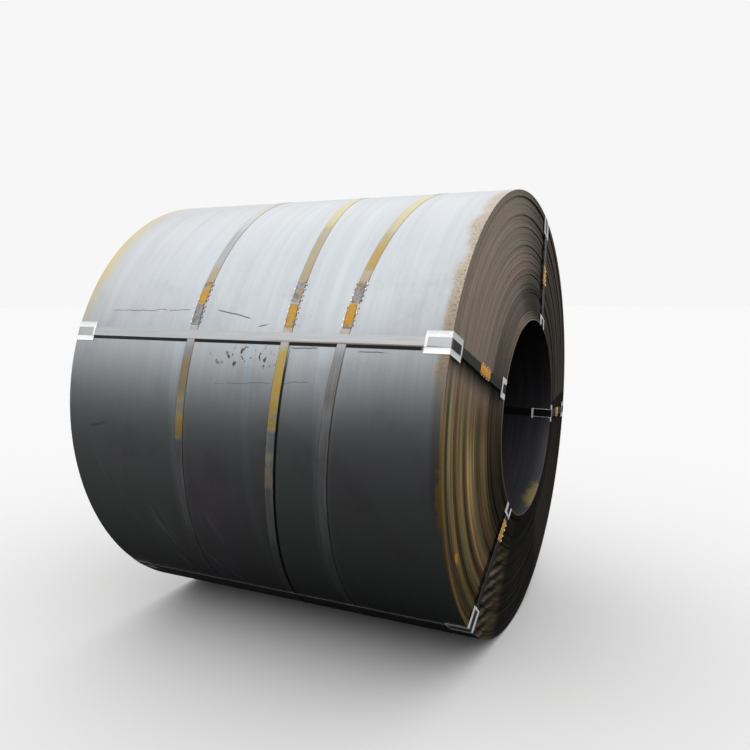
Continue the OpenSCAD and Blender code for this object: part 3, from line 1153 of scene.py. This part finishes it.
def turn_edges():
    """Sheared edges of the turns: brown-grey rings, rusty on the lower near side, with painted shade and
    painted highlights laid over them.
    """
    colours = bpy.context.scene.coil_colours
    material, tree, shader, place = new_material("turn_edges")
    _, radius, rise = place_group(tree, coil_place(), (place,))
    fine = place_group(tree, turn_rings(), (place, radius, 270.0, 1.2))[0]
    broad = place_group(tree, turn_rings(), (place, radius, 55.0, 1.0))[0]
    base = Vector(colours.edge)
    tone = plus(tree, times(tree, fine, 0.4), times(tree, broad, 0.6))
    shade = blend(tree, ramp(tree, tone, 0.35, 0.65), base * 0.86, base * 1.12)
    lower = window(tree, rise, -75.0, 14.0, 15.0)
    olive = blend(tree, ramp(tree, broad, 0.38, 0.62), (0.14, 0.10, 0.05), (0.40, 0.285, 0.105))
    shade = stained(tree, shade, lower, 0.75, olive)
    tinge = place_group(tree, turn_rings(), (place, radius, 22.0, 3.0))[0]
    tinted = blend(tree, ramp(tree, tinge, 0.42, 0.58), (1.08, 0.96, 1.0), (0.92, 1.03, 0.94))
    shade = blend(tree, ramp(tree, lower, 0.0, 1.0, 0.5, 1.0), shade, toned(tree, shade, tinted))
    rings = place_group(tree, turn_rings(), (place, radius, 70.0, 0.7))[0]
    rusty = times(tree, ramp(tree, rings, 0.54, 0.66), lower)
    rusty = times(tree, rusty, window(tree, radius, 0.52, 0.856, 0.012))
    shade = stained(tree, shade, rusty, 0.55, colours.yellow_rust)
    seam = times(tree, window(tree, radius, 0.638, 0.652, 0.005), window(tree, rise, -38.0, 6.0, 12.0))
    seam = times(tree, seam, ramp(tree, fine, 0.4, 0.55))
    shade = stained(tree, shade, seam, 0.45, (0.46, 0.27, 0.06))
    for low, high, rise_low, rise_high in RIM_LINES:
        line = times(tree, window(tree, radius, low, high, 0.0012),
                     window(tree, rise, rise_low, rise_high, 8.0))
        shade = stained(tree, shade, line, 0.8, (0.95, 0.8, 0.62))
    spot = place_group(tree, patch(), (place, radius, rise, 0.794, -25.8, 0.012, 2.2, 1.6))[0]
    shade = blend(tree, spot, shade, (1.0, 0.42, 0.06))
    # Painted shade: the ends darken towards the bottom and the far side, at the top near the bore, and on
    # the inner rings of the upper half.
    y = node(tree, "SeparateXYZ", place).outputs[1]
    dim = times(tree, ramp(tree, rise, -75.0, 30.0, 0.24, 1.0), ramp(tree, y, -0.1, 0.25, 1.0, 0.33))
    dark_top = times(tree, window(tree, rise, 78.0, 106.0, 7.0), window(tree, radius, 0.40, 0.535, 0.03))
    dim = times(tree, dim, minus(tree, 1.0, times(tree, dark_top, 0.5)))
    inner = ramp(tree, radius, 0.5, 0.64, 0.68, 1.0)
    upper = ramp(tree, rise, 8.0, 24.0)
    dim = times(tree, dim, node(tree, "Mix", upper, None, 1.0, inner).outputs[0])
    for low, high, level, low_rise, high_rise in RING_TONES:
        ring = times(tree, window(tree, radius, low, high, 0.006),
                     window(tree, rise, low_rise, high_rise, 9.0))
        dim = times(tree, dim, plus(tree, 1.0, times(tree, ring, level - 1)))
    # Painted highlights on the ripples' crests and painted shade, partly dirt, in their troughs.
    dirt, rippled = ripple_shading_and_dirt(tree, place, radius)
    dim = times(tree, dim, dirt)
    shade = stained(tree, shade, rippled, 0.7, (0.27, 0.215, 0.165))
    # Painted shade: a dark wedge on the lower far side of the ends, and the ring next to the bore darkened,
    # most towards the bottom.
    wedge = minus(tree, 1.0, times(tree, window(tree, rise, -118.0, -72.0, 4.0), 0.84))
    core = ramp(tree, radius, 0.495, 0.515, 1.0, 0.0)
    core_level = times(tree, core, ramp(tree, rise, 8.0, 62.0, 0.7, 0.25))
    dim = times(tree, times(tree, dim, wedge), minus(tree, 1.0, core_level))
    # Painted shadow beside each strap on the ends.
    for angle, side, reach in STRAP_SHADES:
        shadow = place_group(tree, strap_shade(), (place, math.radians(angle), side, reach * MM))[0]
        dim = times(tree, dim, minus(tree, 1.0, shadow))
    shade = toned(tree, shade, grey(tree, dim))
    set_shader(tree, shader, shade, 0.55, 0.25)
    shader.inputs["Specular IOR Level"].default_value = 0.3
    relief(tree, shader, tone, 0.6 * MM, 0.6)
    return material


def grey(tree, value):
    """Grey colour of a value."""
    return node(tree, "CombineColor", value, value, value).outputs[0]


def bore_steel():
    """First turn, its colour much darker than the outer turn's scale as painted shade for the inside of the
    bore, with a rusty patch on the lower far side near the front.
    """
    colours = bpy.context.scene.coil_colours
    material, tree, shader, place = new_material("bore_steel")
    box_x, radius, rise = place_group(tree, coil_place(), (place,))
    coil_edge = bpy.context.scene.coil_sizes.bore_radius
    streak = place_group(tree, round_streaks(), (place, 2.0, 25.0))[0]
    base = Vector(colours.bore)
    shade = blend(tree, ramp(tree, streak, 0.35, 0.65), base * 0.75, base * 1.3)
    stain = place_group(tree, patch(), (place, box_x, rise, 0.765, -112.0, 0.05, 15.0, 1.0))[0]
    shade = stained(tree, shade, stain, 0.75, (0.22, 0.17, 0.05))
    rim = ramp(tree, radius, coil_edge + 0.2 * MM, coil_edge + 0.8 * MM)
    shade = stained(tree, shade, rim, 0.8, (0.30, 0.24, 0.15))
    set_shader(tree, shader, shade, ramp(tree, streak, 0.3, 0.7, 0.5, 0.38), 0.4)
    relief(tree, shader, streak, 0.4 * MM, 0.5)
    return material


# Rusty stretches of each band, and stretches lighter or darker than the rest: limits of rise in
# degrees, and strength or level
BAND_RUST = {
    1: ((64, 71, 0.35), (37, 42, 0.5), (31, 37, 0.75), (26, 31, 0.1), (4, 18, 0.55), (-1, 5, 0.95)),
    2: ((54, 77, 0.85), (37, 53, 0.5), (31.5, 37, 0.35), (25, 31.5, 0.75), (3, 21, 1.0), (-10.5, -2, 0.6)),
    3: ((54, 77, 0.8), (40, 54, 0.9), (32, 40, 0.4), (26.2, 32, 0.75), (24, 26, 0.3)),
}
BAND_LEVELS = {
    1: ((34, 56, 0.78), (9, 21, 0.62), (-26, -7, 1.3)),
    2: ((33, 56, 0.76), (-26, 3, 1.35)),
    3: ((36, 53, 0.82), (9, 21, 0.6), (-24, -6, 1.2)),
}


def ribbon_place(tree):
    """Place along a ribbon and across it, in metres."""
    uv = node(tree, "UVMap", uv_map="ribbon").outputs[0]
    return node(tree, "SeparateXYZ", uv).outputs[:2]


def ribbon_grain(tree, along, across, fine):
    """Brushed grain that runs along a ribbon."""
    place = node(tree, "CombineXYZ", along, times(tree, across, fine), 0.0).outputs[0]
    return noise_at(tree, place, 6.0, 4.0, 0.6)


def band_rust(tree, rise, index):
    """How rusty a band is along its stretches."""
    rust = None
    for low, high, amount in BAND_RUST[index]:
        stretch = times(tree, window(tree, rise, low, high, 1.2), amount)
        rust = stretch if rust is None else calc(tree, "MAXIMUM", rust, stretch)
    return rust


def band_steel(index):
    """Strapping of one band, with its own stretches of rust."""
    colours = bpy.context.scene.coil_colours
    material, tree, shader, place = new_material(f"band_steel_{index}")
    rise = place_group(tree, coil_place(), (place,))[2]
    along, across = ribbon_place(tree)
    grain = ribbon_grain(tree, along, across, 60.0)
    cloud = noise_at(tree, place, 16.0, 4.0, 0.65)
    base = Vector(colours.strapping)
    shade = blend(tree, ramp(tree, grain, 0.3, 0.7), base * 0.75, base * 1.1)
    rust = times(tree, band_rust(tree, rise, index), ramp(tree, cloud, 0.25, 0.5))
    edge = ramp(tree, calc(tree, "ABSOLUTE", across), 9 * MM, 15 * MM)
    edge = times(tree, edge, ramp(tree, cloud, 0.45, 0.6))
    edge = times(tree, edge, window(tree, rise, -25.0, 80.0, 12.0))
    rust = calc(tree, "MAXIMUM", rust, times(tree, edge, 0.5))
    tint = ramp(tree, cloud, 0.46, 0.7, 0.0, 0.7)
    tint = blend(tree, tint, colours.yellow_rust, colours.orange_rust)
    tint = blend(tree, ramp(tree, rise, 40.0, 66.0), tint, colours.pale_rust)
    dull = ramp(tree, rise, -8.0, 14.0, 0.3, 1.0)
    tint = toned(tree, tint, grey(tree, dull))
    shade = blend(tree, rust, shade, tint)
    level = 1.0
    for low, high, amount in BAND_LEVELS[index]:
        stretch = window(tree, rise, low, high, 3.0)
        level = times(tree, level, ramp(tree, stretch, 0.0, 1.0, 1.0, amount))
    shade = toned(tree, shade, grey(tree, level))
    metallic = ramp(tree, rust, 0.0, 1.0, 0.8, 0.3)
    set_shader(tree, shader, shade, ramp(tree, rust, 0.0, 1.0, 0.36, 0.7), metallic)
    relief(tree, shader, grain, 0.2 * MM, 0.5)
    return material


def strap_steel():
    """Strapping of the straps through the bore, with thin brown lines along it, and painted shade inside
    the bore and on the coil's end.
    """
    if "strap_steel" in bpy.data.materials:
        return bpy.data.materials["strap_steel"]
    colours = bpy.context.scene.coil_colours
    material, tree, shader, place = new_material("strap_steel")
    along, across = ribbon_place(tree)
    grain = ribbon_grain(tree, along, across, 60.0)
    lines = ribbon_grain(tree, times(tree, along, 0.35), across, 90.0)
    x, radius, _ = place_group(tree, coil_place(), (place,))
    base = Vector(colours.strapping)
    shade = blend(tree, ramp(tree, grain, 0.3, 0.7), base * 0.94, base * 1.08)
    outside = ramp(tree, radius, 0.855, 0.862)
    edge = window(tree, across, -17 * MM, -11.5 * MM, 1.5 * MM)
    edge = times(tree, edge, window(tree, x, 0.08, 0.68, 0.05))
    edge = times(tree, edge, times(tree, outside, ramp(tree, lines, 0.35, 0.55)))
    brown = times(tree, ramp(tree, lines, 0.6, 0.7), 0.35)
    brown = calc(tree, "MAXIMUM", brown, times(tree, edge, 0.85))
    shade = blend(tree, brown, shade, colours.brown_rust)
    # Painted shade: the strap is darkened inside the bore and, less, on the coil's end.
    inside = ramp(tree, radius, 0.383, 0.395, 0.14, 1.0)
    face = ramp(tree, radius, 0.845, 0.86, 0.55, 1.0)
    shade = toned(tree, shade, grey(tree, times(tree, inside, face)))
    set_shader(tree, shader, shade, ramp(tree, grain, 0.3, 0.7, 0.38, 0.3), 0.85)
    relief(tree, shader, grain, 0.2 * MM, 0.4)
    return material


def seal_steel(index):
    """Sheet of a band's seals, rusty where the band is, or for 0 of the orange seals at the coil's end."""
    name = f"seal_steel_{index}"
    if name in bpy.data.materials:
        return bpy.data.materials[name]
    colours = bpy.context.scene.coil_colours
    material, tree, shader, place = new_material(name)
    rise = place_group(tree, coil_place(), (place,))[2]
    across = ribbon_place(tree)[1]
    cloud = noise_at(tree, place, 60.0, 4.0, 0.65)
    broad = noise_at(tree, place, 22.0, 3.0, 0.6)
    rust_colour = colours.orange_rust if index else colours.bright_rust
    rust = blend(tree, ramp(tree, cloud, 0.46, 0.7, 0.0, 0.8), rust_colour, colours.yellow_rust)
    clean = Vector(colours.strapping) * 0.9
    steel = blend(tree, ramp(tree, cloud, 0.35, 0.6), (0.19, 0.175, 0.15), clean)
    amount = ramp(tree, cloud, 0.42, 0.5, 0.2, 0.95)
    if index:
        uneven = times(tree, minus(tree, broad, 0.5), 1.6)
        amount = plus(tree, band_rust(tree, rise, index), uneven)
        amount = ramp(tree, amount, 0.35, 0.75)
    shade = blend(tree, amount, steel, rust)
    dark = ramp(tree, noise_at(tree, place, 130.0, 3.0, 0.6), 0.56, 0.68)
    shade = stained(tree, shade, dark, 0.35, colours.brown_rust)
    edge = times(tree, window(tree, calc(tree, "ABSOLUTE", across), 14 * MM, 17 * MM, 1.5 * MM), 0.6)
    shade = blend(tree, edge, shade, colours.brown_rust)
    # Bare metal of the torn tabs, coloured near white as painted glints on the crimps.
    bare_glint = ramp(tree, calc(tree, "ABSOLUTE", across), 17.4 * MM, 18.0 * MM)
    bare_glint = times(tree, bare_glint, ramp(tree, broad, 0.42, 0.5, 0.35, 1.0))
    shade = blend(tree, bare_glint, shade, (0.97, 0.97, 0.97))
    set_shader(tree, shader, shade, ramp(tree, bare_glint, 0.0, 1.0, 0.7, 0.3))
    shader.inputs["Specular IOR Level"].default_value = 0.15
    relief(tree, shader, cloud, 0.5 * MM, 0.9)
    return material


def galvanised_sheet():
    """Bright zinc with faint spangle."""
    colours = bpy.context.scene.coil_colours
    material, tree, shader, place = new_material("galvanised_sheet")
    cells = node(tree, "TexVoronoi", place, None, 160.0).outputs["Color"]
    spangle = node(tree, "SeparateColor", cells).outputs[0]
    smear = noise_at(tree, place, 30.0, 3.0, 0.6)
    base = Vector(colours.zinc)
    shade = blend(tree, spangle, base * 0.9, base)
    shade = blend(tree, ramp(tree, smear, 0.62, 0.8, 0.0, 0.3), shade, base * 0.6)
    set_shader(tree, shader, shade, ramp(tree, spangle, 0.0, 1.0, 0.42, 0.32), 0.12)
    relief(tree, shader, spangle, 0.05 * MM, 0.3)
    return material


# Stage

class COIL_OT_stage(bpy.types.Operator):
    """Build the floor, the light and the camera"""

    bl_idname = "coil.stage"
    bl_label = "Stage"

    def execute(self, context):
        stage = context.scene.coil_stage
        self.add_floor(stage)
        self.add_sky(context, stage)
        self.add_camera(context, stage)
        context.scene.view_settings.view_transform = "Standard"
        return {"FINISHED"}

    def add_floor(self, stage):
        """Wide pale floor. What it throws back up on the coil is held down, as by a dark sheet."""
        bpy.ops.object.select_all(action="DESELECT")
        bpy.ops.mesh.primitive_circle_add(vertices=96, radius=60, fill_type="NGON")
        floor = bpy.context.object
        floor.name = "floor"
        material = bpy.data.materials.new("pale_floor")
        material.use_nodes = True
        tree = material.node_tree
        tree.nodes.clear()
        pale = node(tree, "BsdfDiffuse", (stage.floor, stage.floor, stage.floor, 1.0))
        dark = node(tree, "BsdfDiffuse", (0.012, 0.012, 0.012, 1.0))
        seen = node(tree, "LightPath").outputs["Is Camera Ray"]
        mixed = node(tree, "MixShader", seen, dark.outputs[0], pale.outputs[0])
        out = tree.nodes.new("ShaderNodeOutputMaterial")
        tree.links.new(mixed.outputs[0], out.inputs["Surface"])
        floor.data.materials.append(material)

    def add_sky(self, context, stage):
        """Soft light from above that falls off to a dark horizon, in front of a pale backdrop."""
        world = bpy.data.worlds.new("studio")
        context.scene.world = world
        world.use_nodes = True
        tree = world.node_tree
        tree.nodes.clear()
        way = tree.nodes.new("ShaderNodeTexCoord").outputs["Generated"]
        height = node(tree, "SeparateXYZ", way).outputs[2]
        level = ramp(tree, height, -0.08, 0.74, 0.014, 1.0)
        light = node(tree, "Background", (1.0, 1.0, 1.0, 1.0), times(tree, level, stage.sky))
        seen_level = 0.93
        backdrop = node(tree, "Background", (seen_level, seen_level, seen_level, 1.0), 1.0)
        seen = node(tree, "LightPath").outputs["Is Camera Ray"]
        mixed = node(tree, "MixShader", seen, light.outputs[0], backdrop.outputs[0])
        out = tree.nodes.new("ShaderNodeOutputWorld")
        tree.links.new(mixed.outputs[0], out.inputs["Surface"])

    def add_camera(self, context, stage):
        """Camera at the height and turn at which the coil is looked at."""
        bpy.ops.object.camera_add(
            location=stage.camera_at, rotation=(math.pi / 2 - stage.camera_pitch, 0, stage.camera_turn))
        camera = bpy.context.object
        camera.name = "camera"
        camera.data.sensor_width = 36
        camera.data.lens = stage.lens_mm
        camera.data.shift_y = stage.shift_y
        context.scene.camera = camera


class COIL_PT_panel(bpy.types.Panel):
    """Sizes, finishes and steps of the coil"""

    bl_label = "Steel Coil"
    bl_idname = "COIL_PT_panel"
    bl_space_type = "VIEW_3D"
    bl_region_type = "UI"
    bl_category = "Steel Coil"

    def draw(self, context):
        for name in GROUPS:
            box = self.layout.box()
            settings = getattr(context.scene, name)
            for key in settings.__annotations__:
                box.prop(settings, key)
        for operator in OPERATORS:
            self.layout.operator(operator.bl_idname)


GROUPS = {
    "coil_sizes": CoilSizes,
    "coil_strapping": StrappingSizes,
    "coil_guards": GuardSizes,
    "coil_colours": FinishColours,
    "coil_stage": StageSizes,
}
OPERATORS = (COIL_OT_stage, COIL_OT_turns, COIL_OT_bands, COIL_OT_straps, COIL_OT_guards)


def register():
    """Registers the classes and hangs the settings on the scene."""
    for group_class in GROUPS.values():
        bpy.utils.register_class(group_class)
    for operator in OPERATORS:
        bpy.utils.register_class(operator)
    bpy.utils.register_class(COIL_PT_panel)
    for name, group_class in GROUPS.items():
        setattr(bpy.types.Scene, name, PointerProperty(type=group_class))


def unregister():
    """Takes the settings and the classes away again."""
    for name in GROUPS:
        delattr(bpy.types.Scene, name)
    bpy.utils.unregister_class(COIL_PT_panel)
    for operator in reversed(OPERATORS):
        bpy.utils.unregister_class(operator)
    for group_class in reversed(GROUPS.values()):
        bpy.utils.unregister_class(group_class)


def main():
    """Builds everything."""
    register()
    bpy.ops.coil.stage()
    bpy.ops.coil.turns()
    bpy.ops.coil.bands()
    bpy.ops.coil.straps()
    bpy.ops.coil.guards()


if __name__ == "__main__":
    main()
